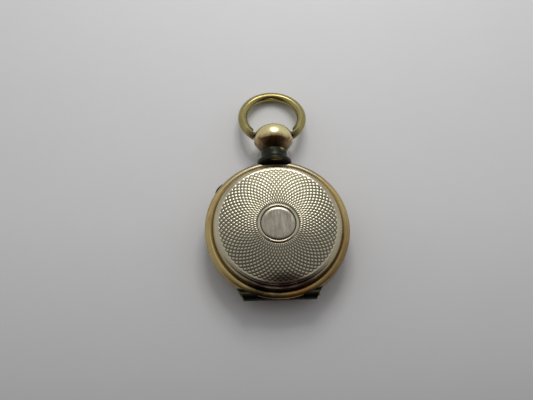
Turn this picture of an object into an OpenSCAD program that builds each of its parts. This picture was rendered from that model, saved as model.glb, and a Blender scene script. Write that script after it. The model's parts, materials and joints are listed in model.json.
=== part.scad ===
// Round picture locket in the form of a small watch case, lying on its back.
// The origin is the centre of the back's flat disc. +Y runs to the pendant, +Z to the lid.

/* [Case] */
// Outer diameter of the two rims
case_d = 25; // [24:0.5:27]
// Half of the closed thickness, from a cover's flat disc to the parting plane
half_h = 3.7; // [3.5:0.1:4.2]
// Height of one rim above the parting plane
rim_h = 1.25; // [1.25:0.05:1.35]
// Thickness of a cover's metal
shell_t = 0.35; // [0.25:0.05:0.4]
// Gap between each rim and the parting plane
seam_gap = 0.03; // [0.02:0.01:0.05]

/* [Engine-turned cover] */
// Width of the plain border outside the patterned field
border_w = 0.95; // [0.9:0.05:1.4]
// Height of the field's edge above the parting plane
field_edge_h = 2.85; // [2.6:0.05:3]
// Radius of the plain disc in the middle
disc_r = 2.85; // [2.4:0.05:3]
// Outer radius of the bead round the disc
bead_r = 3.45; // [3.3:0.05:3.8]

/* [Hinge] */
// Radius of the barrel
barrel_r = 0.95; // [0.9:0.01:0.97]
// Distance of the hinge line inside the rim's edge
hinge_inset = 1; // [0.98:0.01:1.02]
// Radius of the pin
pin_r = 0.4; // [0.3:0.01:0.45]
// Half of the barrel's length on the hinge line
barrel_half = 6.6; // [6.4:0.1:7]
// Gap between neighbouring knuckles
knuckle_gap = 0.05; // [0.03:0.01:0.1]

/* [Pendant] */
// Largest radius of the bulb
bulb_r = 3.48; // [3.4:0.01:3.5]
// Distance of the bulb's widest ring outside the rim's edge
bulb_rise = 4.55; // [4.4:0.05:4.7]
// Height of the bulb above its widest ring
bulb_top = 2.7; // [2.5:0.05:2.9]
// Radius of the waist
waist_r = 2.3; // [2.1:0.05:2.4]
// Radius of the foot's bead
foot_r = 3.05; // [2.95:0.05:3.15]

/* [Bow] */
// Radius of the bow's wire
wire_r = 0.84; // [0.75:0.01:0.9]
// Radius of the wire's centre line
bow_r = 5.35; // [5.25:0.05:5.5]
// Distance from the pivot to the centre of the ring
bow_offset = 4.1; // [4:0.05:4.2]
// Radius of the turned ends that enter the bulb
bow_pin_r = 0.5; // [0.4:0.01:0.55]

/* [Hidden] */
$fn = 96;
case_r = case_d / 2;

// The cover stands in a seat cut into the rim.
seat_h = 1;
seat_depth = 1.35;
shoulder_h = 1.05;
shoulder_power = 3;
cover_r = case_r - seat_depth;
skirt_r = cover_r - shell_t;
field_r = cover_r - border_w;
bead_h = 0.05;
groove_w = 0.14;
groove_depth = 0.12;
bead_dip = 0.02;

// The rim's moulding is a quarter of an ellipse that falls to a chamfer beside the cover.
moulding_w = 0.75;
moulding_h = 0.6;
chamfer_w = 0.2;
chamfer_top = 0.12;
chamfer_low = 0.2;

// The closure: a split ring on the back that the lid slips over.
closure_clearance = 0.07;
snap_t = 0.35;
snap_proud = 0.45;
snap_mouth_half = 7.2;

// The picture stack, by height from the parting plane.
bezel_r = skirt_r - 0.45;
glass_r = bezel_r - 0.45;
bezel_in_r = glass_r - 0.5;
bezel_face_h = 0.2;
bezel_edge = 0.1;
glass_h = 0.45;
photo_h = 0.85;
liner_h = 1.02;
flange_h = 1.3;

// The hinge line, the ends of its five knuckles, and the block that tapers away from the case.
// Every cutter reaches past what it cuts by cut_over.
hinge_y = hinge_inset - case_r;
turning_gap = 0.07;
pin_clearance = 0.03;
pin_press = 0.01;
pin_proud = 0.12;
middle_half = 1.25;
outer_start = 3.9;
block_half = barrel_half + 0.3;
block_end_half = barrel_half - 0.5;
block_root_half = barrel_half + 0.65;
block_in_y = hinge_y + 0.6;
block_root_y = hinge_y + 1.3;
block_out_y = hinge_y - barrel_r;
cut_reach = 0.4;
cut_over = 1;
lid_edge_floor = 0.8;

// The nail lip is a segment of a smaller disc that shows past the rim.
lip_angle = 142;
lip_proud = 0.35;
lip_disc_r = 2.49;
lip_low = 0.05;
lip_t = 0.3;

// The pendant's turned outline, by distance from the case's axis.
foot_y = case_r - 0.5;
foot_t = 1;
foot_edge_r = 0.35;
foot_clearance = 0.08;
cove_h = 1;
waist_h = 0.75;
spigot_proud = 0.85;
spigot_r = 1.2;
neck_y = foot_y + foot_t;
waist_y = neck_y + cove_h;
taper_y = waist_y + waist_h;
spigot_y = taper_y + spigot_proud;
bulb_y = case_r + bulb_rise;
bulb_power = 2.3;
taper_w = 0.5;
taper_h = 0.75;
bulb_edge_w = 0.05;
bulb_edge_h = 0.65;

// The bow lies against the table, so its dip follows from the case's thickness.
pivot_rise = 1.05;
pivot_y = bulb_y + pivot_rise;
bow_dip = asin((half_h - wire_r) / (bow_offset + bow_r));
bow_end_x = bulb_r + 0.06;
bow_mouth_y = 1.2;
bow_pin_in_x = 2.3;
bow_pin_root = 0.3;
bow_hole_in_x = 2.1;
bow_hole_clearance = 0.03;

gilt = [0.66, 0.58, 0.33];
pale = [0.74, 0.71, 0.64];
tarnish = [0.24, 0.22, 0.17];
raw_brass = [0.78, 0.6, 0.28];
card = [0.9, 0.88, 0.82];
clear = [0.85, 0.9, 0.92, 0.35];

// Height of the patterned field at radius r: a shallow crown.
function field_h(r) =
    half_h - bead_h
    - (half_h - bead_h - field_edge_h) * (r * r - bead_r * bead_r) / (field_r * field_r - bead_r * bead_r);

// A point on a full, rounded shoulder that falls from (r0, high) at 0 degrees to (r1, low) at 90.
function shoulder_point(t, r0, r1, low, high) = [
    r0 + (r1 - r0) * pow(sin(t), 2 / shoulder_power),
    low + (high - low) * pow(cos(t), 2 / shoulder_power)
];

// The lid's side of the parting plane, and the back's side as its mirror image.
module lid_half() {
    translate([0, 0, half_h]) children();
}

module back_half() {
    translate([0, 0, half_h]) mirror([0, 0, 1]) children();
}

// A flat disc between two heights.
module disc(r, low, high) {
    translate([0, 0, low]) cylinder(r = r, h = high - low);
}

// A round bar along X on the hinge line, with the parting plane at height 0.
module hinge_bar(r, x0, x1) {
    translate([x0, hinge_y, 0]) rotate([0, 90, 0]) cylinder(r = r, h = x1 - x0);
}

// ---- covers and rims, drawn for one half ----

module cover() {
    in_r = field_r - shell_t;
    in_h = field_edge_h - shell_t;
    rotate_extrude()
        polygon(concat(
            [[0, half_h], [disc_r, half_h], [disc_r + groove_w, half_h - groove_depth],
             [disc_r + 2 * groove_w, half_h - bead_dip], [bead_r - groove_w, half_h],
             [bead_r, half_h - bead_h]],
            [for (i = [1:10]) let (r = bead_r + (field_r - bead_r) * i / 10) [r, field_h(r)]],
            [for (t = [10:10:90]) shoulder_point(t, field_r, cover_r, shoulder_h, field_edge_h)],
            [[cover_r, seat_h], [skirt_r, seat_h]],
            [for (t = [90:-15:15]) shoulder_point(t, in_r, skirt_r, flange_h, in_h)],
            [for (i = [10:-2:2]) let (r = in_r * i / 10) [r, field_h(max(r, bead_r)) - shell_t]],
            [[0, half_h - bead_h - shell_t]]
        ));
}

module rim(lip_r) {
    crest_r = case_r - moulding_w;
    rotate_extrude()
        polygon(concat(
            [[lip_r, seam_gap], [case_r, seam_gap]],
            [for (t = [0:10:90]) [crest_r + moulding_w * cos(t), rim_h - moulding_h * (1 - sin(t))]],
            [[cover_r + chamfer_w, rim_h - chamfer_top], [cover_r, rim_h - chamfer_low],
             [cover_r, seat_h], [lip_r, seat_h]]
        ));
}

// The notch in a rim's outer edge that the pendant's foot stands in, drawn for one half.
module foot_socket(clearance) {
    translate([0, foot_y - clearance, 0]) rotate([-90, 0, 0])
        cylinder(r = foot_r + clearance, h = foot_t);
}

// The strip of rim beyond the hinge line, from below the parting plane up to a height.
module outer_strip(top) {
    translate([-block_half, -case_r - cut_over, -cut_over])
        cube([2 * block_half, hinge_inset + cut_over, cut_over + top]);
}

// ---- lid ----

module lid_shell() {
    color(pale) lid_half() cover();
}

module lid_rim() {
    clear_r = barrel_r + turning_gap;
    middle_end = middle_half + knuckle_gap / 2;
    outer_end = outer_start - knuckle_gap / 2;
    color(gilt) lid_half() difference() {
        rim(skirt_r + closure_clearance);
        hinge_bar(barrel_r, -outer_start, outer_start);
        hinge_bar(clear_r, -middle_end, middle_end);
        hinge_bar(clear_r, -block_half - cut_reach, -outer_end);
        hinge_bar(clear_r, outer_end, block_half + cut_reach);
        outer_strip(lid_edge_floor);
        foot_socket(foot_clearance);
    }
}

module nail_lip() {
    color(tarnish) lid_half() difference() {
        rotate([0, 0, lip_angle]) translate([case_r + lip_proud - lip_disc_r, 0, 0])
            disc(lip_disc_r, lip_low, lip_low + lip_t);
        disc(case_r, -cut_over, cut_over);
    }
}

module lid_knuckle(x0, x1) {
    color(tarnish) lid_half() difference() {
        hinge_bar(barrel_r, x0, x1);
        hinge_bar(pin_r + pin_clearance, x0 - cut_over, x1 + cut_over);
    }
}

module lid_knuckle_left() {
    lid_knuckle(knuckle_gap - outer_start, -middle_half - knuckle_gap);
}

module lid_knuckle_right() {
    lid_knuckle(middle_half + knuckle_gap, outer_start - knuckle_gap);
}

// ---- picture stack, the same on both sides ----

module bezel() {
    rotate_extrude()
        polygon([
            [bezel_in_r, bezel_face_h + bezel_edge], [bezel_in_r + bezel_edge, bezel_face_h],
            [bezel_r - bezel_edge, bezel_face_h], [bezel_r, bezel_face_h + bezel_edge],
            [bezel_r, seat_h], [skirt_r, seat_h], [skirt_r, flange_h],
            [glass_r, flange_h], [glass_r, glass_h], [bezel_in_r, glass_h]
        ]);
}

module lid_bezel() {
    color(gilt) lid_half() bezel();
}

module lid_glass() {
    color(clear) lid_half() disc(glass_r, glass_h, photo_h);
}

module lid_photo() {
    color(card) lid_half() disc(glass_r, photo_h, liner_h);
}

module lid_liner() {
    color(raw_brass) lid_half() disc(glass_r, liner_h, flange_h);
}

module back_bezel() {
    color(gilt) back_half() bezel();
}

module back_glass() {
    color(clear) back_half() disc(glass_r, glass_h, photo_h);
}

module back_photo() {
    color(card) back_half() disc(glass_r, photo_h, liner_h);
}

module back_liner() {
    color(raw_brass) back_half() disc(glass_r, liner_h, flange_h);
}

// ---- case ----

module back_shell() {
    color(pale) back_half() cover();
}

module back_rim() {
    clear_r = barrel_r + turning_gap;
    color(gilt) back_half() difference() {
        rim(skirt_r);
        hinge_bar(barrel_r, -block_half - cut_reach, block_half + cut_reach);
        hinge_bar(clear_r, -outer_start, -middle_half);
        hinge_bar(clear_r, middle_half, outer_start);
        outer_strip(rim_h + cut_over);
        foot_socket(0);
    }
}

module snap_ring() {
    color(gilt) back_half() difference() {
        disc(skirt_r, -snap_proud, seat_h);
        disc(skirt_r - snap_t, -snap_proud - cut_over, seat_h + cut_over);
        translate([-snap_mouth_half, -case_r, -snap_proud - cut_over])
            cube([2 * snap_mouth_half, case_r, seat_h + snap_proud + 2 * cut_over]);
    }
}

// Plan of the hinge block, one outline for both of its ends.
module block_plan() {
    polygon([
        [-block_root_half, block_root_y], [-block_half, block_in_y], [-block_end_half, block_out_y],
        [block_end_half, block_out_y], [block_half, block_in_y], [block_root_half, block_root_y]
    ]);
}

// An end knuckle, with the web that fills the corner between the barrel and the back rim.
module end_knuckle(x0, x1) {
    color(tarnish) lid_half() difference() {
        intersection() {
            union() {
                hinge_bar(barrel_r, x0, x1);
                difference() {
                    translate([x0, hinge_y, -barrel_r])
                        cube([x1 - x0, block_root_y - hinge_y, barrel_r - seam_gap]);
                    disc(case_r, -half_h, half_h);
                }
            }
            translate([0, 0, -half_h]) linear_extrude(2 * half_h) block_plan();
        }
        hinge_bar(pin_r + pin_press, x0 - cut_over, x1 + cut_over);
    }
}

module hinge_knuckle_left() {
    end_knuckle(-block_root_half, -outer_start);
}

module hinge_knuckle_middle() {
    color(tarnish) lid_half() difference() {
        hinge_bar(barrel_r, -middle_half, middle_half);
        hinge_bar(pin_r + pin_press, -barrel_half, barrel_half);
    }
}

module hinge_knuckle_right() {
    end_knuckle(outer_start, block_root_half);
}

module hinge_pin() {
    color(raw_brass) lid_half() hinge_bar(pin_r, -barrel_half, barrel_half + pin_proud);
}

// ---- pendant, turned about a line along +Y in the parting plane ----

// Points are [distance from the pendant's own axis, distance from the case's axis].
module turned(points) {
    translate([0, 0, half_h]) rotate([-90, 0, 0]) rotate_extrude() polygon(points);
}

module pendant_foot() {
    edge_x = foot_r - foot_edge_r;
    color(tarnish) turned(concat(
        [[spigot_r, foot_y]],
        [for (t = [-90:15:0]) [edge_x + foot_edge_r * cos(t), foot_y + foot_edge_r * (1 + sin(t))]],
        [for (t = [0:15:90]) [edge_x + foot_edge_r * cos(t), neck_y - foot_edge_r * (1 - sin(t))]],
        [[spigot_r, neck_y]]
    ));
}

module pendant_neck() {
    flare_r = foot_r - foot_edge_r;
    cove_w = flare_r - waist_r;
    color(tarnish) turned(concat(
        [[0, foot_y], [spigot_r, foot_y], [spigot_r, neck_y]],
        [for (t = [0:15:90]) [flare_r - cove_w * sin(t), neck_y + cove_h * (1 - cos(t))]],
        [[waist_r, taper_y], [spigot_r, taper_y], [spigot_r, spigot_y], [0, spigot_y]]
    ));
}

module pendant_ball() {
    color(gilt) difference() {
        turned(concat(
            [[spigot_r, taper_y], [waist_r, taper_y], [waist_r + taper_w, taper_y + taper_h],
             [bulb_r - bulb_edge_w, bulb_y - bulb_edge_h]],
            [for (t = [0:6:90]) [bulb_r * pow(cos(t), 2 / bulb_power),
                                 bulb_y + bulb_top * pow(sin(t), 2 / bulb_power)]],
            [[0, spigot_y], [spigot_r, spigot_y]]
        ));
        for (side = [-1, 1])
            translate([side * bow_hole_in_x, pivot_y, half_h]) rotate([0, side * 90, 0])
                cylinder(r = bow_pin_r + bow_hole_clearance, h = bulb_r);
    }
}

// ---- bow ----

module bow() {
    color(gilt) translate([0, pivot_y, half_h]) rotate([-bow_dip, 0, 0]) {
        difference() {
            translate([0, bow_offset, 0]) rotate_extrude() translate([bow_r, 0]) circle(r = wire_r);
            translate([-bow_end_x, -bow_r, -half_h]) cube([2 * bow_end_x, bow_r + bow_mouth_y, 2 * half_h]);
        }
        for (side = [-1, 1])
            translate([side * bow_pin_in_x, 0, 0]) rotate([0, side * 90, 0])
                cylinder(r = bow_pin_r, h = bow_end_x + bow_pin_root - bow_pin_in_x);
    }
}

lid_shell();
lid_rim();
nail_lip();
lid_knuckle_left();
lid_knuckle_right();
lid_bezel();
lid_glass();
lid_photo();
lid_liner();
back_shell();
back_rim();
snap_ring();
back_bezel();
back_glass();
back_photo();
back_liner();
hinge_knuckle_left();
hinge_knuckle_middle();
hinge_knuckle_right();
hinge_pin();
pendant_foot();
pendant_neck();
pendant_ball();
bow();
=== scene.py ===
"""The looks of a round picture locket: engine-turned covers, gilt rims, a bulb pendant and a ring bow."""

import json
import math

import bmesh
import bpy
import numpy as np
from mathutils import Matrix, Vector


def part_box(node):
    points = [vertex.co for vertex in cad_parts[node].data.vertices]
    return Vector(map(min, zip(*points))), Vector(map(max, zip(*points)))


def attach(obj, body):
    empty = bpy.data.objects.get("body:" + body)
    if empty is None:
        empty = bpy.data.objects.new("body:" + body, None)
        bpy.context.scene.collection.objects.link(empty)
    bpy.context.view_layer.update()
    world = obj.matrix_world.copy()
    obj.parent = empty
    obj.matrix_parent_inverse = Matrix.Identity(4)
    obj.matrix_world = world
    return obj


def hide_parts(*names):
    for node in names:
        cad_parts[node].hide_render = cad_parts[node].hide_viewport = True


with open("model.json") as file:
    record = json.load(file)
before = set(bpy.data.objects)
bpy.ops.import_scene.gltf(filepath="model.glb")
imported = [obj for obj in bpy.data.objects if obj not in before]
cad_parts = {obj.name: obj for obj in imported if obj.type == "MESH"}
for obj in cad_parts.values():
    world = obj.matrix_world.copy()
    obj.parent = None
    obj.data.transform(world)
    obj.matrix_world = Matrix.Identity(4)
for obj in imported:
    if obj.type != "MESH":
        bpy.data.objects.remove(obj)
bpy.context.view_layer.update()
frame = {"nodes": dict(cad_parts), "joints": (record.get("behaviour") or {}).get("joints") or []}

MM = 0.001
WELD = 0.0002 * MM


def joint_place(name):
    return Vector(next(j["pos_m"] for j in frame["joints"] if j["name"] == name))


# ---- sizes taken from the frame ----

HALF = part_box("lid_shell")[1].z / 2
CASE_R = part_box("back_rim")[1].x
COVER_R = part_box("lid_shell")[1].x
RIM_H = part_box("lid_rim")[1].z - HALF
BULB_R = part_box("pendant_ball")[1].x
TAPER_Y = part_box("pendant_ball")[0].y
BULB_END_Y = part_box("pendant_ball")[1].y
FOOT_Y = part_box("pendant_foot")[0].y
NECK_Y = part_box("pendant_foot")[1].y
FOOT_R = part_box("pendant_foot")[1].x
PIVOT = joint_place("bow_swing")
HINGE = joint_place("lid_hinge")

# ---- sizes of shapes that a box doesn't give ----

SEAT_H = 1.0 * MM
SEAM_GAP = 0.03 * MM
SHELL_T = 0.35 * MM
SKIRT_R = COVER_R - SHELL_T
CLOSURE_CLEARANCE = 0.07 * MM
FLANGE_H = 1.3 * MM
BARREL_R = 0.95 * MM
BARREL_CLEAR_R = BARREL_R + 0.07 * MM
FOOT_CLEARANCE = 0.08 * MM
FOOT_EDGE_R = 0.35 * MM
WAIST_R = 2.3 * MM
WAIST_Y = NECK_Y + 1.0 * MM
SPIGOT_R = 1.2 * MM
BULB_Y = BULB_END_Y - 2.7 * MM
BULB_POWER = 2.3
WIRE_R = 0.84 * MM
BOW_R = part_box("bow")[1].x - WIRE_R
BOW_OFFSET = 4.1 * MM
BOW_END_X = BULB_R + 0.06 * MM
BOW_PIN_R = 0.5 * MM
BOW_PIN_IN_X = 2.3 * MM
CUT_EDGE = 0.94
BOW_DIP = math.asin((HALF - WIRE_R) / (BOW_OFFSET + BOW_R))

# ---- engine turning ----

ARCS = 68
ARC_CIRCLE = 12.6 * MM
CELL_STEPS = 10
FACET_SLOPE = math.tan(math.radians(13))
FIELD_R = COVER_R - 0.95 * MM
FIELD_EDGE_H = 2.85 * MM
BEAD_R = 3.45 * MM
BEAD_H = 0.05 * MM
BEAD_CLEAR = 0.2 * MM
DISC_R = 2.85 * MM
SHOULDER_H = 1.05 * MM
SHOULDER_POWER = 2.4
SHOULDER_START = 11
CELL_FLAT = 0.9
PATTERN_FADE = 0.25 * MM
LINE_R = FIELD_R + 0.3 * MM
LINE_HALF = 0.055 * MM
LINE_DEPTH = 0.045 * MM
DISC_RINGS = 7
FIELD_SLOT, DISC_SLOT, BORDER_SLOT = range(3)

# ---- mesh densities ----

RIM_STEPS = 288
TURNED_STEPS = 128


# ---- mesh helpers ----

def new_piece(name, mesh, body, material, replaced=()):
    """A mesh piece that rides on a body and stands for CAD nodes."""
    if material:
        mesh.materials.clear()
        mesh.materials.append(material)
    piece = bpy.data.objects.new(name, mesh)
    bpy.context.scene.collection.objects.link(piece)
    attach(piece, body)
    if replaced:
        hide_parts(*replaced)
    return piece


def mesh_of(name, verts, faces):
    mesh = bpy.data.meshes.new(name)
    mesh.from_pydata([tuple(v) for v in verts], [], faces)
    return mesh


def cleaned(mesh, outward=True):
    """Welds coincident points, drops faces without area and turns the faces outwards."""
    work = bmesh.new()
    work.from_mesh(mesh)
    bmesh.ops.remove_doubles(work, verts=work.verts, dist=WELD)
    bmesh.ops.dissolve_degenerate(work, dist=WELD, edges=work.edges)
    if outward:
        bmesh.ops.recalc_face_normals(work, faces=work.faces)
    work.to_mesh(mesh)
    work.free()
    return mesh


def smooth(mesh, angle=35):
    mesh.polygons.foreach_set("use_smooth", [True] * len(mesh.polygons))
    mesh.set_sharp_from_angle(angle=math.radians(angle))
    return mesh


def ring_faces(rings, steps, closed=False):
    """Quads between neighbouring rings of equal length."""
    faces = []
    for i in range(rings if closed else rings - 1):
        a, b = i * steps, (i + 1) % rings * steps
        for j in range(steps):
            k = (j + 1) % steps
            faces.append((a + j, a + k, b + k, b + j))
    return faces


def turned_about_case(name, outline, steps, up=1):
    """A ring turned about the case's axis. Points are (radius, height above the parting plane)."""
    angle = np.arange(steps) * 2 * math.pi / steps
    rings = [np.stack([r * np.cos(angle), r * np.sin(angle), np.full(steps, HALF + up * h)], 1)
             for r, h in outline]
    return cleaned(mesh_of(name, np.concatenate(rings), ring_faces(len(rings), steps, closed=True)))


def turned_about_pendant(name, outline, steps):
    """A solid turned about the pendant's own axis. Points are (radius, distance along Y)."""
    angle = np.arange(steps) * 2 * math.pi / steps
    rings = [np.stack([r * np.cos(angle), np.full(steps, y), HALF + r * np.sin(angle)], 1)
             for r, y in outline]
    return cleaned(mesh_of(name, np.concatenate(rings), ring_faces(len(rings), steps, closed=True)))


def cylinder(start, end, radius, steps=96):
    """A cutter for boolean cuts."""
    axis = (end - start).normalized()
    side = axis.orthogonal().normalized()
    other = axis.cross(side)
    verts = [at + (side * math.cos(t) + other * math.sin(t)) * radius
             for at in (start, end) for t in np.arange(steps) * 2 * math.pi / steps]
    faces = ring_faces(2, steps) + [tuple(reversed(range(steps))), tuple(range(steps, 2 * steps))]
    return cleaned(mesh_of("cutter", verts, faces))


def block(low, high):
    """A cutter for boolean cuts."""
    work = bmesh.new()
    bmesh.ops.create_cube(work, size=1)
    bmesh.ops.scale(work, vec=high - low, verts=work.verts)
    bmesh.ops.translate(work, vec=(low + high) / 2, verts=work.verts)
    mesh = bpy.data.meshes.new("cutter")
    work.to_mesh(mesh)
    work.free()
    return mesh


def applied(piece):
    """Replaces a piece's mesh with what its modifiers make of it."""
    bpy.context.view_layer.update()
    graph = bpy.context.evaluated_depsgraph_get()
    result = bpy.data.meshes.new_from_object(piece.evaluated_get(graph))
    piece.modifiers.clear()
    piece.data = result


def cut(mesh, cutters):
    """The mesh with each cutter's shape taken out of it."""
    piece = bpy.data.objects.new("being_cut", mesh)
    bpy.context.scene.collection.objects.link(piece)
    tools = []
    for cutter in cutters:
        tool = bpy.data.objects.new("tool", cutter)
        bpy.context.scene.collection.objects.link(tool)
        tools.append(tool)
        modifier = piece.modifiers.new("cut", "BOOLEAN")
        modifier.operation = "DIFFERENCE"
        modifier.solver = "EXACT"
        modifier.object = tool
    applied(piece)
    result = piece.data
    for used in tools + [piece]:
        bpy.data.objects.remove(used)
    return cleaned(result, outward=False)


def softened(node_name, width):
    """A copy of a CAD node's mesh with its sharp edges rounded."""
    mesh = frame["nodes"][node_name].data.copy()
    mesh.name = node_name + "_soft"
    work = bmesh.new()
    work.from_mesh(mesh)
    bmesh.ops.remove_doubles(work, verts=work.verts, dist=WELD)
    bmesh.ops.dissolve_limit(work, angle_limit=math.radians(1), verts=work.verts, edges=work.edges)
    work.to_mesh(mesh)
    work.free()
    piece = bpy.data.objects.new("being_softened", mesh)
    bpy.context.scene.collection.objects.link(piece)
    bevel = piece.modifiers.new("soft_edges", "BEVEL")
    bevel.width = width
    bevel.segments = 2
    bevel.limit_method = "ANGLE"
    bevel.angle_limit = math.radians(40)
    applied(piece)
    result = piece.data
    bpy.data.objects.remove(piece)
    return smooth(result, 20)


# ---- materials ----

def node(tree, kind, **values):
    made = tree.nodes.new(kind)
    for key, value in values.items():
        if key in made.inputs:
            made.inputs[key].default_value = value
        else:
            setattr(made, key, value)
    return made


def ramp(tree, source, stops):
    """A colour ramp on a value: stops are (position, colour)."""
    made = tree.nodes.new("ShaderNodeValToRGB")
    tree.links.new(source, made.inputs["Fac"])
    elements = made.color_ramp.elements
    while len(elements) < len(stops):
        elements.new(0.5)
    for element, (position, colour) in zip(elements, stops):
        element.position = position
        element.color = (*colour, 1)
    return made.outputs["Color"]


def grey(value):
    return (value, value, value)


class Finish:
    """A material under construction: object coordinates, a Principled shader and small helpers."""

    def __init__(self, name, metallic=1.0):
        self.material = bpy.data.materials.new(name)
        self.material.use_nodes = True
        self.tree = self.material.node_tree
        self.shader = self.tree.nodes["Principled BSDF"]
        self.shader.inputs["Metallic"].default_value = metallic
        self.place = self.tree.nodes.new("ShaderNodeTexCoord").outputs["Object"]
        self.normal = None

    def link(self, source, target):
        self.tree.links.new(source, target)

    def vector(self, operation, a, b=None):
        made = node(self.tree, "ShaderNodeVectorMath", operation=operation)
        for value, socket in zip((a, b), made.inputs):
            if isinstance(value, (tuple, Vector)):
                socket.default_value = tuple(value)
            elif value is not None:
                self.link(value, socket)
        return made.outputs["Value" if operation in ("LENGTH", "DOT_PRODUCT") else "Vector"]

    def noise(self, scale, detail=4.0, rough=0.55, vector=None):
        made = node(self.tree, "ShaderNodeTexNoise", Scale=scale, Detail=detail, Roughness=rough)
        self.link(vector or self.place, made.inputs["Vector"])
        return made.outputs["Fac"]

    def mix(self, factor, a, b):
        made = self.tree.nodes.new("ShaderNodeMix")
        made.data_type = "RGBA"
        for value, socket in ((factor, made.inputs[0]), (a, made.inputs[6]), (b, made.inputs[7])):
            if isinstance(value, tuple):
                socket.default_value = (*value, 1)
            else:
                self.link(value, socket)
        return made.outputs[2]

    def scaled(self, source, amount):
        made = node(self.tree, "ShaderNodeMath", operation="MULTIPLY")
        self.link(source, made.inputs[0])
        made.inputs[1].default_value = amount
        return made.outputs[0]

    def tinted(self, a, b):
        made = self.tree.nodes.new("ShaderNodeMix")
        made.data_type = "RGBA"
        made.blend_type = "MULTIPLY"
        made.inputs[0].default_value = 1.0
        self.link(a, made.inputs[6])
        self.link(b, made.inputs[7])
        return made.outputs[2]

    def attribute(self, name):
        return node(self.tree, "ShaderNodeAttribute", attribute_name=name).outputs["Fac"]

    def distance(self, centre, keep=(1, 1, 1)):
        """Distance from a point, or from a line through it along the axis that keep leaves out."""
        away = self.vector("SUBTRACT", self.place, centre)
        return self.vector("LENGTH", self.vector("MULTIPLY", away, keep))

    def band(self, value, stops):
        """A ramp on a length: stops are (millimetres, grey level)."""
        low, high = stops[0][0], stops[-1][0]
        span = node(self.tree, "ShaderNodeMapRange")
        self.link(value, span.inputs["Value"])
        span.inputs["From Min"].default_value = low * MM
        span.inputs["From Max"].default_value = high * MM
        return ramp(self.tree, span.outputs["Result"],
                    [((at - low) / (high - low), grey(level)) for at, level in stops])

    def streaks(self, centre, keep, along, across, detail=3.0):
        """Noise drawn out along circles about a line: along and across are its two scales."""
        radius = self.scaled(self.distance(centre, keep), across)
        lifted = self.tree.nodes.new("ShaderNodeCombineXYZ")
        self.link(radius, lifted.inputs["X"])
        self.link(radius, lifted.inputs["Z"])
        drawn = self.vector("MULTIPLY", self.place, (along, along, along))
        return self.noise(1.0, detail, 0.6, self.vector("ADD", drawn, lifted.outputs["Vector"]))

    def patch(self, centre, inner, outer, level, ragged=420, keep=(1, 1, 1)):
        """A blotch with a ragged edge round a point. A keep below 1 draws it out along that axis."""
        spread = self.band(self.distance(centre, keep), [(inner, level), (outer, 0.0)])
        torn = ramp(self.tree, self.noise(ragged, 4, 0.6), [(0.35, grey(0.5)), (0.55, grey(1))])
        made = node(self.tree, "ShaderNodeMath", operation="MULTIPLY")
        self.link(spread, made.inputs[0])
        self.link(torn, made.inputs[1])
        return made.outputs[0]

    def colour(self, source):
        self.link(source, self.shader.inputs["Base Color"])

    def roughness(self, source, low, high):
        self.link(ramp(self.tree, source, [(0.3, grey(low)), (0.7, grey(high))]),
                  self.shader.inputs["Roughness"])

    def bump(self, source, distance, strength=1.0):
        made = node(self.tree, "ShaderNodeBump", Strength=strength, Distance=distance)
        self.link(source, made.inputs["Height"])
        if self.normal is not None:
            self.link(self.normal, made.inputs["Normal"])
        self.normal = made.outputs["Normal"]
        self.link(self.normal, self.shader.inputs["Normal"])


# Near-black brown for real dirt, and for painted shade and painted reflection on the rim and the bulb.
DIRT_AND_PAINTED_SHADE = (0.040, 0.026, 0.014)
COPPER = (0.30, 0.14, 0.06)
BROWN = (0.26, 0.17, 0.07)
PALED = (0.27, 0.235, 0.155)
RUST = (0.36, 0.17, 0.05)
# Painted reflection: a dark brown painted over the covers' near side, standing in for the reflected dark
# near side.
NEAR_SIDE_PAINTED_DARK = (0.085, 0.052, 0.045)
NEAR_SIDE_DARK_AT = Vector((0.6 * MM, -CASE_R, HALF + 2 * MM))
ABOUT_CASE = (Vector((0, 0, 0)), (1, 1, 0))
ABOUT_PENDANT = (Vector((0, 0, HALF)), (1, 0, 1))
ABOUT_HINGE = (HINGE, (0, 1, 1))
BOW_CENTRE = PIVOT + Vector((0, math.cos(BOW_DIP), -math.sin(BOW_DIP))) * BOW_OFFSET
ABOUT_BOW = (BOW_CENTRE, (1, 1, 1))


def gilt(name, light, dark, stain, about, stain_amount=0.4, polish=(0.16, 0.28), dirt=()):
    """Worn satin gilding: tones and fine lines drawn out along the turning, brown stains, dirt where
    it gathers, and painted shade where dirt gives it. dirt is a function from the finish to a list of
    (mask, colour)."""
    metal = Finish(name)
    lines = metal.streaks(*about, 160, 5200)
    tone = metal.mix(lines, dark, light)
    worn = metal.mix(ramp(metal.tree, metal.noise(230, 4), [(0.42, grey(0)), (0.66, grey(0.5))]), tone,
                     tuple(c * 0.78 for c in dark))
    stains = ramp(metal.tree, metal.streaks(*about, 300, 900),
                  [(0.54, grey(0)), (0.72, grey(stain_amount))])
    painted = metal.mix(stains, worn, stain)
    for mask, tint in (dirt(metal) if dirt else ()):
        painted = metal.mix(mask, painted, tint)
    metal.colour(painted)
    metal.roughness(metal.streaks(*about, 260, 2600), *polish)
    metal.bump(lines, 0.0035 * MM)
    metal.bump(metal.noise(330, 2, 0.4), 0.012 * MM)
    return metal.material


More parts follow.
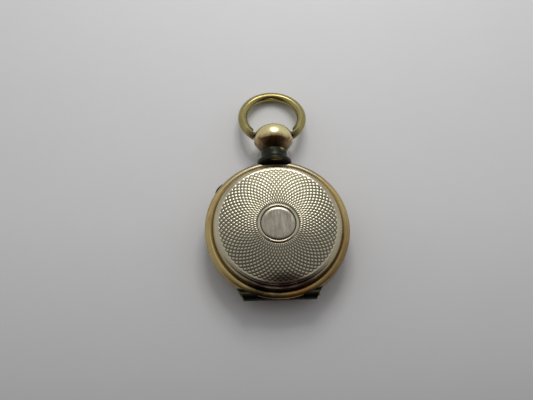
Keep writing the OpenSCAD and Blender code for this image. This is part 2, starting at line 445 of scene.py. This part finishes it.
def rim_dirt_and_shade(metal):
    """Dirt and painted shade in the corner beside the cover, painted shade and a painted reflection of the
    dark neck by the pendant, dirt at the hinge, rust beside it, a duller tone over the far side and painted
    shade over the right side.
    """
    # Dirt, and painted shade of the junction, in the corner beside the cover.
    corner = metal.band(metal.distance(*ABOUT_CASE), [
        (COVER_R / MM, 0.8), (COVER_R / MM + 0.1, 0.5), (COVER_R / MM + 0.22, 0.0)])
    # Painted shade and a painted reflection of the dark neck where the rim meets the pendant.
    by_pendant = metal.patch(Vector((0, CASE_R, HALF + RIM_H)), 1.2, 2.3, 0.7)
    by_hinge = metal.patch(Vector((-2.6 * MM, -CASE_R + 0.6 * MM, HALF + RIM_H)), 2.0, 3.7, 0.85)
    rusty = metal.patch(Vector((3.2 * MM, -CASE_R + 0.6 * MM, HALF + RIM_H)), 1.8, 3.8, 0.8)
    # Painted shade: a broad brown patch darkens the right side of the rim.
    painted_right_shade = metal.patch(Vector((0.87 * CASE_R, -0.5 * CASE_R, HALF)), 4.0, 10.0, 0.85, 160)
    paled = metal.patch(Vector((0, CASE_R, HALF)), 7.0, 12.0, 0.9, 160)
    tones_and_painted_shade = [(paled, PALED), (painted_right_shade, BROWN), (rusty, RUST)]
    return tones_and_painted_shade + [(mask, DIRT_AND_PAINTED_SHADE) for mask in (corner, by_pendant, by_hinge)]


def bulb_dirt_and_shade(metal):
    """Copper brown under the bulb's edge with drips that run down it, darkened as a painted reflection of
    the dark near side, near black by the neck as dirt and painted shade, and a copper patch on the upper
    left.
    """
    drips = metal.noise(1.0, 3, 0.6, metal.vector("MULTIPLY", metal.place, (1300, 130, 1300)))
    ragged = ramp(metal.tree, drips, [(0.4, grey(0.45)), (0.6, grey(1))])
    along = metal.distance(Vector((0, TAPER_Y, 0)), (0, 1, 0))
    under = metal.band(along, [(0.0, 1.0), (1.1, 0.95), (1.8, 0.85), (2.2, 0.35), (2.5, 0.0)])
    upper_left = Vector((-1.9 * MM, BULB_Y - 0.3 * MM, HALF + 2.9 * MM))
    left = metal.patch(upper_left, 0.7, 2.0, 0.3, 520, (1, 0.6, 1))
    # The copper under the edge and the near black by the neck are partly painted shade and painted
    # reflection.
    return [(left, COPPER), (metal.tinted(ragged, under), COPPER),
            (metal.band(along, [(0.0, 1.0), (0.5, 0.8), (1.3, 0.3), (1.9, 0.0)]), DIRT_AND_PAINTED_SHADE)]


def bow_dirt(metal):
    """Dirt where the bow's ends enter the bulb."""
    return [(metal.band(metal.distance(PIVOT), [(3.4, 0.95), (4.2, 0.6), (5.0, 0.0)]), DIRT_AND_PAINTED_SHADE)]


def engraved(name):
    """Pale plated metal of the patterned field: clean on the cell tops, dirt down the cuts, and the near
    edge painted dark as a painted reflection.
    """
    metal = Finish(name)
    clean = metal.mix(metal.noise(160, 5), (0.53, 0.487, 0.362), (0.69, 0.647, 0.494))
    dirt = ramp(metal.tree, metal.attribute("cut"), [(0.38, grey(0)), (0.9, grey(0.93))])
    # Two ragged patches paint the near edge dark: a painted reflection of the dark near side.
    once = metal.mix(metal.patch(NEAR_SIDE_DARK_AT, 3.2, 4.9, 1.0, 260, (0.75, 1, 1)), clean, NEAR_SIDE_PAINTED_DARK)
    tones_and_painted_shade = metal.mix(metal.patch(NEAR_SIDE_DARK_AT, 2.7, 4.2, 1.0, 110, (0.75, 1, 1)), once, NEAR_SIDE_PAINTED_DARK)
    metal.colour(metal.mix(dirt, tones_and_painted_shade, (0.055, 0.048, 0.03)))
    metal.roughness(metal.noise(800, 4, 0.6), 0.12, 0.22)
    metal.bump(metal.noise(900, 2, 0.5), 0.006 * MM)
    return metal.material


def brushed(name):
    """The plain disc: pale metal brushed along Y, with blotches and a few deeper scratches."""
    metal = Finish(name)
    drawn = metal.vector("MULTIPLY", metal.place, (1.0, 0.12, 1.0))
    strokes = metal.noise(1900, 5, 0.7, drawn)
    sharp = ramp(metal.tree, strokes, [(0.36, grey(0)), (0.64, grey(1))])
    tone = metal.mix(sharp, (0.36, 0.33, 0.26), (0.62, 0.57, 0.46))
    blotches = ramp(metal.tree, metal.noise(900, 4, 0.6), [(0.45, grey(0)), (0.7, grey(0.45))])
    metal.colour(metal.mix(blotches, tone, (0.27, 0.25, 0.21)))
    metal.roughness(strokes, 0.17, 0.26)
    metal.bump(strokes, 0.006 * MM)
    metal.bump(metal.noise(520, 3, 0.6), 0.008 * MM)
    return metal.material


def plain_border(name):
    """The smooth border of a cover, with fine lines that run round it and its near side painted dark as a
    painted reflection.
    """
    metal = Finish(name)
    lines = metal.streaks(*ABOUT_CASE, 90, 5200)
    clean = metal.mix(lines, (0.42, 0.37, 0.25), (0.66, 0.60, 0.43))
    worn = ramp(metal.tree, metal.streaks(*ABOUT_CASE, 220, 2400), [(0.5, grey(0)), (0.7, grey(0.5))])
    streaked = metal.mix(worn, clean, (0.26, 0.18, 0.10))
    # Painted reflection: a ragged patch paints the near side of the border dark.
    metal.colour(metal.mix(metal.patch(NEAR_SIDE_DARK_AT, 4.2, 8.5, 1.0, 260, (0.85, 1, 1)), streaked, NEAR_SIDE_PAINTED_DARK))
    metal.roughness(metal.streaks(*ABOUT_CASE, 200, 3000), 0.14, 0.28)
    metal.bump(lines, 0.006 * MM)
    metal.bump(metal.noise(420, 2, 0.5), 0.01 * MM)
    return metal.material


def tarnished(name, base, glint, about, bare=()):
    """Dark tarnish that has rubbed through to gold here and there. bare lists (place, inner, outer,
    keep) as for patch."""
    metal = Finish(name)
    dark = metal.mix(metal.noise(300, 5), base, tuple(c * 2.0 for c in base))
    rubbed = ramp(metal.tree, metal.streaks(*about, 420, 1500), [(0.62, grey(0)), (0.74, grey(0.3))])
    painted = metal.mix(rubbed, dark, glint)
    for place, inner, outer, keep in bare:
        painted = metal.mix(metal.patch(place, inner, outer, 0.9, 700, keep), painted, glint)
    metal.colour(painted)
    metal.roughness(metal.noise(600, 4, 0.6), 0.24, 0.46)
    metal.bump(metal.noise(700, 3, 0.5), 0.016 * MM)
    return metal.material


def clear_glass(name):
    """Old clear glass with faint smears. It is a thin clear coat, so light reaches the card under it."""
    glass = Finish(name, metallic=0.0)
    smears = glass.noise(260, 5, 0.7)
    glass.colour(glass.mix(smears, (0.10, 0.12, 0.11), (0.22, 0.24, 0.22)))
    glass.link(ramp(glass.tree, smears, [(0.35, grey(0.16)), (0.75, grey(0.30))]),
               glass.shader.inputs["Alpha"])
    glass.shader.inputs["IOR"].default_value = 1.9
    glass.roughness(glass.noise(300, 5, 0.7), 0.03, 0.12)
    glass.bump(glass.noise(120, 2), 0.004 * MM)
    return glass.material


def card(name):
    """Blank ivory card with fibres and faint foxing."""
    paper = Finish(name, metallic=0.0)
    fibre = paper.noise(1800, 6, 0.7)
    base = paper.mix(fibre, (0.74, 0.65, 0.44), (0.84, 0.77, 0.57))
    foxing = ramp(paper.tree, paper.noise(240, 5, 0.6), [(0.6, grey(0)), (0.78, grey(0.5))])
    paper.colour(paper.mix(foxing, base, (0.36, 0.24, 0.12)))
    paper.roughness(fibre, 0.7, 0.9)
    paper.bump(fibre, 0.01 * MM)
    return paper.material


def floor_paper(name):
    """The matt pale sheet under the locket, darker away from a line beyond it: painted shade of the light's
    falloff.
    """
    sheet = Finish(name, metallic=0.0)
    grain = sheet.mix(sheet.noise(90, 4), (0.965, 0.97, 0.985), (0.995, 1.0, 1.015))
    # Painted shade: the sheet's colour darkens with distance from y = 0.15 m, most towards the near side.
    sheet.colour(sheet.tinted(grain, sheet.band(sheet.distance(Vector((0, 0.15, 0)), (0, 1, 0)), [
        (85, 0.92), (145, 0.84), (172, 0.71), (200, 0.47), (1500, 0.47)])))
    sheet.roughness(sheet.noise(400, 4), 0.75, 0.9)
    sheet.bump(sheet.noise(2500, 3), 0.01 * MM)
    return sheet.material


RIM_GILT = gilt("rim_gilt", (0.62, 0.48, 0.22), (0.46, 0.35, 0.15), (0.34, 0.17, 0.05), ABOUT_CASE, 0.5,
                (0.2, 0.32), rim_dirt_and_shade)
BOW_GILT = gilt("bow_gilt", (0.42, 0.355, 0.145), (0.31, 0.26, 0.10), (0.17, 0.13, 0.05), ABOUT_BOW, 0.35,
                (0.14, 0.24), bow_dirt)
BULB_GILT = gilt("bulb_gilt", (0.96, 0.87, 0.47), (0.84, 0.74, 0.37), (0.36, 0.25, 0.10), ABOUT_PENDANT,
                 0.25, (0.17, 0.28), bulb_dirt_and_shade)
BEZEL_GILT = gilt("bezel_gilt", (0.64, 0.49, 0.22), (0.54, 0.41, 0.17), (0.24, 0.14, 0.05), ABOUT_CASE,
                  0.25)
RAW_BRASS = gilt("raw_brass", (0.66, 0.45, 0.17), (0.54, 0.36, 0.14), (0.2, 0.1, 0.04), ABOUT_HINGE, 0.4,
                 (0.25, 0.45))
FIELD_METAL = engraved("field_metal")
DISC_METAL = brushed("disc_metal")
BORDER_METAL = plain_border("border_metal")
HINGE_TARNISH = tarnished("hinge_tarnish", (0.012, 0.013, 0.009), (0.30, 0.20, 0.07), ABOUT_HINGE)
NECK_TARNISH = tarnished(
    "neck_tarnish", (0.018, 0.019, 0.014), (0.50, 0.38, 0.16), ABOUT_PENDANT,
    [(Vector((1.5 * MM, TAPER_Y, HALF + 1.8 * MM)), 0.15, 0.6, (0.8, 1, 1)),
     # The second bare patch, a thin gold line along the top edge of the foot, is a painted highlight.
     (Vector((0.3 * MM, FOOT_Y + 0.12 * MM, HALF + FOOT_R - 0.15 * MM)), 0.05, 0.26, (0.2, 1, 0.3))])
GLASS = clear_glass("picture_glass")
CARD = card("picture_card")


# ---- covers ----

def field_height(r):
    """The crown of the patterned field above the parting plane."""
    top = HALF - BEAD_H
    share = (r * r - BEAD_R * BEAD_R) / (FIELD_R * FIELD_R - BEAD_R * BEAD_R)
    return top - (top - FIELD_EDGE_H) * share


def tooth(phase):
    """0 in a cut and 1 midway between two cuts."""
    turn = phase / (2 * math.pi)
    return 1 - np.abs((turn - np.floor(turn)) * 2 - 1)


def shoulder_point(t, r0, r1, low, high):
    """A point on the full, rounded shoulder that falls from (r0, high) to (r1, low)."""
    return (r0 + (r1 - r0) * math.sin(t) ** (2 / SHOULDER_POWER),
            low + (high - low) * max(math.cos(t), 0) ** (2 / SHOULDER_POWER))


def turned_line(curve):
    """The fine turned line in the plain border: a small V below a curve of (radius, height)."""
    places, heights = zip(*curve)
    return [(LINE_R + out, np.interp(LINE_R + out, places, heights) - LINE_DEPTH * low)
            for out, low in ((-LINE_HALF, 0), (0, 1), (LINE_HALF, 0))]


def disc_outline():
    """The plain disc, the groove round it and the raised bead: (radius, height, dirt)."""
    points = [(DISC_R * k / 6, HALF, 0) for k in range(1, 6)]
    points += [(DISC_R - 0.07 * MM, HALF, 0), (DISC_R - 0.01 * MM, HALF - 0.03 * MM, 0)]
    groove_low = HALF - 0.14 * MM
    points += [(DISC_R + 0.04 * MM, groove_low + 0.03 * MM, 1), (DISC_R + 0.08 * MM, groove_low, 1)]
    points += [(DISC_R + 0.16 * MM, groove_low, 1), (DISC_R + 0.21 * MM, groove_low + 0.02 * MM, 1)]
    bead_centre, bead_half = DISC_R + 0.39 * MM, 0.17 * MM
    points += [(bead_centre - bead_half * math.cos(t), HALF - 0.12 * MM + 0.12 * MM * math.sin(t), 0)
               for t in np.linspace(0.25, math.pi - 0.2, 10)]
    points += [(BEAD_R + 0.12 * MM, HALF - 0.15 * MM, 1), (BEAD_R + 0.17 * MM, HALF - 0.15 * MM, 1)]
    return points


def cover(name, body, replaced, up):
    """An engine-turned cover. Two families of arcs, each on a circle through the middle, are cut with
    a V tool, so what is left between them is a field of small pyramids. up is 1 on the lid and -1 on
    the back."""
    steps = ARCS * CELL_STEPS
    angle = np.arange(steps) * 2 * math.pi / steps
    step = 2 * math.pi / CELL_STEPS

    def lean(r):
        return ARCS * math.asin(r / ARC_CIRCLE)

    middle = disc_outline()
    rows = range(math.ceil(lean(BEAD_R + BEAD_CLEAR) / step), math.floor(lean(FIELD_R) / step) + 1)
    field = [(ARC_CIRCLE * math.sin(row * step / ARCS), row * step) for row in rows]
    start, wall_r, wall_low = math.radians(SHOULDER_START), COVER_R - 0.02 * MM, SHOULDER_H + 0.25 * MM
    across, fall = shoulder_point(start, 0, 1, 0, 1)
    top_r = (FIELD_R - wall_r * across) / (1 - across)
    top_h = wall_low + (FIELD_EDGE_H - wall_low) / fall
    curve = [shoulder_point(t, top_r, wall_r, wall_low, top_h)
             for t in np.linspace(start * 1.15, math.pi / 2, 15)]
    shoulder = [(*point, 0) for point in sorted(curve + turned_line(curve))]
    foot_line = [(COVER_R - 0.01 * MM, wall_low - 0.03 * MM, 0), (COVER_R, wall_low - 0.06 * MM, 0)]
    inner_r, inner_h = FIELD_R - SHELL_T, FIELD_EDGE_H - SHELL_T
    inside = [(COVER_R, SEAT_H, 0), (SKIRT_R, SEAT_H, 0)]
    inside += [(*shoulder_point(t, inner_r, SKIRT_R, FLANGE_H, inner_h), 0)
               for t in np.radians([90, 60, 30, 10])]
    inside += [(r, field_height(max(r, BEAD_R)) - SHELL_T, 0)
               for r in (inner_r * 0.8, inner_r * 0.5, inner_r * 0.25)]

    rings, cuts = [], []

    def add(r, h, cut_here):
        height = np.broadcast_to(h, steps)
        rings.append(np.stack([r * np.cos(angle), r * np.sin(angle), HALF + up * height], 1))
        cuts.append(np.broadcast_to(cut_here, steps))

    for point in middle:
        add(*point)
    for r, phase in field:
        pitch = 2 * math.pi * r / ARCS * math.sqrt(1 - (r / ARC_CIRCLE) ** 2)
        depth = FACET_SLOPE * pitch / 2
        spin = ARCS * angle
        top = np.minimum(tooth(spin + phase), tooth(spin - phase))
        fade = min(1, 0.1 + (FIELD_R - r) / PATTERN_FADE)
        add(r, field_height(r) - depth * fade * (CELL_FLAT - np.minimum(top, CELL_FLAT)), (1 - top) * fade)
    for point in shoulder + foot_line + inside:
        add(*point)

    outer_centre = len(rings) * steps
    last = outer_centre - steps
    faces = [(outer_centre, (j + 1) % steps, j) for j in range(steps)]
    faces += ring_faces(len(rings), steps)
    faces += [(outer_centre + 1, last + j, last + (j + 1) % steps) for j in range(steps)]
    if up > 0:
        faces = [tuple(reversed(f)) for f in faces]
    rings.append(np.array([(0, 0, HALF + up * HALF), (0, 0, HALF + up * inside[-1][1])]))
    cuts.append(np.zeros(2))
    mesh = mesh_of(name, np.concatenate(rings), faces)
    for material in (FIELD_METAL, DISC_METAL, BORDER_METAL):
        mesh.materials.append(material)
    attribute = mesh.attributes.new("cut", "FLOAT", "POINT")
    attribute.data.foreach_set("value", np.concatenate(cuts).astype(np.float32))
    kinds = np.full(len(faces), BORDER_SLOT, np.int32)
    kinds[: (len(middle) + len(field) + 1) * steps] = FIELD_SLOT
    kinds[: DISC_RINGS * steps] = DISC_SLOT
    mesh.polygons.foreach_set("material_index", kinds)
    return new_piece(name, smooth(mesh, 60), body, None, replaced)


# ---- rims ----

def rim_outline(lip_r):
    """The rim's section: a flat seam, the rounded moulding, and a chamfer that falls to the cover."""
    crest_r, moulding_w, moulding_h = CASE_R - 0.75 * MM, 0.75 * MM, 0.6 * MM
    points = [(lip_r, SEAM_GAP), (CASE_R - 0.06 * MM, SEAM_GAP), (CASE_R - 0.02 * MM, SEAM_GAP + 0.02 * MM),
              (CASE_R, SEAM_GAP + 0.06 * MM)]
    points += [(crest_r + moulding_w * math.cos(t), RIM_H - moulding_h * (1 - math.sin(t)))
               for t in np.linspace(0, math.pi / 2, 15)]
    points += [(COVER_R + 0.32 * MM, RIM_H - 0.02 * MM), (COVER_R + 0.24 * MM, RIM_H - 0.07 * MM),
               (COVER_R + 0.16 * MM, RIM_H - 0.16 * MM), (COVER_R, RIM_H - 0.2 * MM),
               (COVER_R, SEAT_H), (lip_r, SEAT_H)]
    return points


def across_hinge(radius, x0, x1):
    return cylinder(HINGE + Vector((x0, 0, 0)), HINGE + Vector((x1, 0, 0)), radius)


def foot_socket(clearance):
    """The notch that the pendant's foot stands in."""
    start, end = Vector((0, FOOT_Y - clearance, HALF)), Vector((0, CASE_R + MM, HALF))
    return cylinder(start, end, FOOT_R + clearance)


def build_rims():
    block_end, middle_end, outer_start = 7.35 * MM, 1.25 * MM, 3.9 * MM
    lid_middle_end, lid_outer_end = middle_end + 0.025 * MM, outer_start - 0.025 * MM
    strip_half, strip_floor = 6.9 * MM, 0.8 * MM
    lid = turned_about_case("lid_rim_moulding", rim_outline(SKIRT_R + CLOSURE_CLEARANCE), RIM_STEPS)
    lid = cut(lid, [
        across_hinge(BARREL_R, -outer_start, outer_start),
        across_hinge(BARREL_CLEAR_R, -lid_middle_end, lid_middle_end),
        across_hinge(BARREL_CLEAR_R, -block_end, -lid_outer_end),
        across_hinge(BARREL_CLEAR_R, lid_outer_end, block_end),
        block(Vector((-strip_half, -CASE_R - MM, HALF - MM)),
              Vector((strip_half, HINGE.y, HALF + strip_floor))),
        foot_socket(FOOT_CLEARANCE),
    ])
    new_piece("lid_rim_moulding", smooth(lid), "lid", RIM_GILT, ["lid_rim"])
    back = turned_about_case("back_rim_moulding", rim_outline(SKIRT_R), RIM_STEPS, up=-1)
    back = cut(back, [
        across_hinge(BARREL_R, -block_end, block_end),
        across_hinge(BARREL_CLEAR_R, -outer_start, -middle_end),
        across_hinge(BARREL_CLEAR_R, middle_end, outer_start),
        block(Vector((-strip_half, -CASE_R - MM, -MM)), Vector((strip_half, HINGE.y, HALF + MM))),
        foot_socket(0),
    ])
    new_piece("back_rim_moulding", smooth(back), "case", RIM_GILT, ["back_rim"])


# ---- pendant ----

def quarter(centre_r, centre_y, radius, start, end, count=7):
    return [(centre_r + radius * math.cos(t), centre_y + radius * math.sin(t))
            for t in np.radians(np.linspace(start, end, count))]


def build_foot():
    edge = FOOT_R - FOOT_EDGE_R
    outline = [(SPIGOT_R, FOOT_Y)]
    outline += quarter(edge, FOOT_Y + FOOT_EDGE_R, FOOT_EDGE_R, -90, 0)
    outline += quarter(edge, NECK_Y - FOOT_EDGE_R, FOOT_EDGE_R, 0, 90)
    outline += [(SPIGOT_R, NECK_Y)]
    mesh = turned_about_pendant("foot_bead", outline, TURNED_STEPS)
    new_piece("foot_bead", smooth(mesh), "case", NECK_TARNISH, ["pendant_foot"])


def build_neck():
    """The waist: a cove from the foot's bead up to the straight part under the bulb."""
    flare_r = FOOT_R - FOOT_EDGE_R
    spigot_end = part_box("pendant_neck")[1].y
    outline = [(0, FOOT_Y), (SPIGOT_R, FOOT_Y), (SPIGOT_R, NECK_Y)]
    outline += [(flare_r - (flare_r - WAIST_R) * math.sin(t),
                 NECK_Y + (WAIST_Y - NECK_Y) * (1 - math.cos(t))) for t in np.linspace(0, math.pi / 2, 12)]
    outline += [(WAIST_R, TAPER_Y), (SPIGOT_R, TAPER_Y), (SPIGOT_R, spigot_end), (0, spigot_end)]
    mesh = turned_about_pendant("waisted_neck", outline, TURNED_STEPS)
    new_piece("waisted_neck", smooth(mesh), "case", NECK_TARNISH, ["pendant_neck"])


def build_bulb():
    """The flattened bulb: a hollow taper under its edge, a rounded dome above, and the bow's holes."""
    top = BULB_END_Y - BULB_Y
    edge_r, edge_y, hollow = BULB_R - 0.05 * MM, BULB_Y - 0.65 * MM, 1.15
    spigot_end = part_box("pendant_neck")[1].y
    outline = [(SPIGOT_R, TAPER_Y)]
    outline += [(WAIST_R + (edge_r - WAIST_R) * share ** hollow, TAPER_Y + (edge_y - TAPER_Y) * share)
                for share in np.linspace(0, 0.96, 10)]
    outline += [(edge_r, edge_y + 0.03 * MM)]
    outline += [(BULB_R * math.cos(t) ** (2 / BULB_POWER), BULB_Y + top * math.sin(t) ** (2 / BULB_POWER))
                for t in np.linspace(0, math.pi / 2 - 0.02, 34)]
    outline += [(0, BULB_END_Y), (0, spigot_end), (SPIGOT_R, spigot_end)]
    mesh = turned_about_pendant("bulb", outline, TURNED_STEPS)
    hole_in, hole_out, hole_r = 2.1 * MM, BULB_R + MM, BOW_PIN_R + 0.03 * MM
    mesh = cut(mesh, [cylinder(PIVOT + Vector((side * hole_in, 0, 0)),
                               PIVOT + Vector((side * hole_out, 0, 0)), hole_r, 48) for side in (-1, 1)])
    new_piece("bulb", smooth(mesh), "case", BULB_GILT, ["pendant_ball"])


# ---- bow ----

def build_bow():
    """A round wire bent to a ring. Each end is cut flat beside the bulb and turned down to a pin."""
    around, along = 40, 150
    out = Vector((0, math.cos(BOW_DIP), -math.sin(BOW_DIP)))
    up = Vector((0, math.sin(BOW_DIP), math.cos(BOW_DIP)))
    turns = [2 * math.pi * k / around for k in range(around)]

    def place(x, v, n):
        return PIVOT + Vector((x, 0, 0)) + out * v + up * n

    def end_ring(side, x, shrink, blend):
        """A ring in the plane of an end: blend runs from the cut wire's outline to the pin's."""
        points = []
        for t in turns:
            reach = BOW_R + WIRE_R * shrink * math.cos(t)
            v = BOW_OFFSET - math.sqrt(reach ** 2 - BOW_END_X ** 2)
            n = WIRE_R * shrink * math.sin(t)
            points.append(place(side * x, v + (-BOW_PIN_R * math.cos(t) - v) * blend,
                                n + (BOW_PIN_R * math.sin(t) - n) * blend))
        return points

    rings = [end_ring(1, BOW_PIN_IN_X, 1, 1), end_ring(1, BOW_END_X, 1, 1)]
    rings += [end_ring(1, BOW_END_X, CUT_EDGE, 0)]
    for k in range(along + 1):
        points = []
        for t in turns:
            reach = BOW_R + WIRE_R * math.cos(t)
            first = math.asin((BOW_END_X + 0.04 * MM) / reach)
            turn = first + (2 * math.pi - 2 * first) * k / along
            points.append(place(reach * math.sin(turn), BOW_OFFSET - reach * math.cos(turn),
                                WIRE_R * math.sin(t)))
        rings.append(points)
    rings += [end_ring(-1, BOW_END_X, CUT_EDGE, 0), end_ring(-1, BOW_END_X, 1, 1)]
    rings += [end_ring(-1, BOW_PIN_IN_X, 1, 1)]
    verts = [v for ring in rings for v in ring]
    last = (len(rings) - 1) * around
    faces = ring_faces(len(rings), around)
    faces += [tuple(reversed(range(around))), tuple(range(last, last + around))]
    mesh = cleaned(mesh_of("ring_bow", verts, faces))
    new_piece("ring_bow", smooth(mesh), "bow", BOW_GILT, ["bow"])


# ---- pieces that keep the CAD's shape, with their sharp edges rounded ----

SOFT_EDGE = 0.04 * MM
FINE_EDGE = 0.015 * MM

SOFTENED = (
    (("lid_bezel",), "lid", BEZEL_GILT, "gilt_bezel", FINE_EDGE),
    (("back_bezel", "snap_ring"), "case", BEZEL_GILT, "gilt_bezel", FINE_EDGE),
    (("hinge_pin",), "case", RAW_BRASS, "liner_brass", SOFT_EDGE),
    (("nail_lip", "lid_knuckle_left", "lid_knuckle_right"), "lid", HINGE_TARNISH,
     "tarnished_brass", SOFT_EDGE),
    (("hinge_knuckle_left", "hinge_knuckle_middle", "hinge_knuckle_right"), "case", HINGE_TARNISH,
     "tarnished_brass", SOFT_EDGE),
)


STACK = (
    ("glass", GLASS, "picture_glass"),
    ("photo", CARD, "picture_card"),
    ("liner", RAW_BRASS, "liner_brass"),
)


def build_stack():
    """The discs of each picture stack, with rounded edges and a hair of air between them."""
    air, edge = 0.012 * MM, 0.03 * MM
    for half, body, up in (("lid", "lid", 1), ("back", "case", -1)):
        for kind, material, slot in STACK:
            node_name = f"{half}_{kind}"
            corner_a, corner_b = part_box(node_name)
            low, high = sorted(up * (corner.z - HALF) for corner in (corner_a, corner_b))
            low, high, radius = low + air, high - air, corner_b.x - air
            outline = [(0, low)]
            outline += quarter(radius - edge, low + edge, edge, -90, 0, 5)
            outline += quarter(radius - edge, high - edge, edge, 0, 90, 5)
            outline += [(0, high)]
            mesh = turned_about_case(node_name + "_disc", outline, RIM_STEPS // 2, up)
            new_piece(node_name + "_disc", smooth(mesh, 20), body, material, [node_name])


def build_softened():
    for names, body, material, slot, width in SOFTENED:
        for name in names:
            new_piece(name + "_soft", softened(name, width), body, material, [name])


cover("lid_cover", "lid", ["lid_shell"], 1)
cover("back_cover", "case", ["back_shell"], -1)
build_rims()
build_foot()
build_neck()
build_bulb()
build_bow()
build_stack()
build_softened()


# ---- floor, light and camera ----

def build_floor():
    size = 1.5
    mesh = bpy.data.meshes.new("floor")
    mesh.from_pydata([(-size, -size, 0), (size, -size, 0), (size, size, 0), (-size, size, 0)],
                     [], [(0, 1, 2, 3)])
    floor = bpy.data.objects.new("floor", mesh)
    floor.location.z = -0.02 * MM
    bpy.context.scene.collection.objects.link(floor)
    mesh.materials.append(floor_paper("floor_sheet"))


def build_ring_light():
    """A ring of soft lamps above and beyond the pendant, facing the locket."""
    centre = Vector((0.010, 0.112, 0.112))
    target = Vector((0, 0.004, 0))
    axis = (centre - target).normalized()
    side = axis.cross(Vector((0, 0, 1))).normalized()
    rise = side.cross(axis)
    lamps, radius = 12, 0.026
    for k in range(lamps):
        turn = 2 * math.pi * k / lamps
        data = bpy.data.lights.new(f"ring_lamp_{k}", "AREA")
        data.shape = "DISK"
        data.size = 0.022
        data.energy = 0.0062
        data.color = (1.0, 0.985, 0.96)
        lamp = bpy.data.objects.new(f"ring_lamp_{k}", data)
        lamp.location = centre + (side * math.cos(turn) + rise * math.sin(turn)) * radius
        lamp.rotation_euler = axis.to_track_quat("Z", "Y").to_euler()
        bpy.context.scene.collection.objects.link(lamp)


def build_world():
    """A soft room: bright beyond the locket and low at both sides, dim overhead, dark and brown on the
    near side."""
    world = bpy.data.worlds.new("room")
    bpy.context.scene.world = world
    world.use_nodes = True
    tree = world.node_tree
    ray = tree.nodes.new("ShaderNodeTexCoord").outputs["Generated"]
    parts = tree.nodes.new("ShaderNodeSeparateXYZ")
    tree.links.new(ray, parts.inputs["Vector"])
    sideways = node(tree, "ShaderNodeMath", operation="ABSOLUTE")
    tree.links.new(parts.outputs["X"], sideways.inputs[0])
    beyond = node(tree, "ShaderNodeMath", operation="MULTIPLY_ADD")
    tree.links.new(sideways.outputs[0], beyond.inputs[0])
    beyond.inputs[1].default_value = 0.45
    tree.links.new(parts.outputs["Y"], beyond.inputs[2])
    span = node(tree, "ShaderNodeMapRange")
    tree.links.new(beyond.outputs[0], span.inputs["Value"])
    span.inputs["From Min"].default_value = -1.0
    span.inputs["From Max"].default_value = 1.0
    colours = ramp(tree, span.outputs["Result"], [
        (0.1, (0.030, 0.017, 0.016)), (0.36, (0.085, 0.066, 0.060)), (0.45, (0.20, 0.180, 0.170)),
        (0.52, (0.35, 0.335, 0.32)), (0.58, (0.46, 0.45, 0.44)), (0.68, (0.50, 0.50, 0.495)),
        (0.8, (0.70, 0.71, 0.72)),
    ])
    tree.links.new(colours, tree.nodes["Background"].inputs["Color"])
    tree.nodes["Background"].inputs["Strength"].default_value = 0.9


def build_camera():
    """The view from above the hinge, a little to the left."""
    azimuth, elevation, roll = (math.radians(a) for a in (-7.288, 69.167, 5.45))
    aim = Vector((-1.673 * MM, 5.569 * MM, HALF))
    distance = 155.39 * MM
    back = Vector((math.sin(azimuth) * math.cos(elevation),
                   -math.cos(azimuth) * math.cos(elevation), math.sin(elevation)))
    right = (-back).cross(Vector((0, 0, 1))).normalized()
    rise = right.cross(-back)
    across = right * math.cos(roll) + rise * math.sin(roll)
    upward = rise * math.cos(roll) - right * math.sin(roll)
    data = bpy.data.cameras.new("camera")
    data.lens = 60
    data.sensor_width = 36
    data.clip_start = 0.005
    camera = bpy.data.objects.new("camera", data)
    camera.matrix_world = Matrix.Translation(aim + back * distance) @ Matrix(
        (across, upward, back)).transposed().to_4x4()
    bpy.context.scene.collection.objects.link(camera)
    bpy.context.scene.camera = camera


build_floor()
build_ring_light()
build_world()
build_camera()
bpy.context.scene.view_settings.view_transform = "Standard"
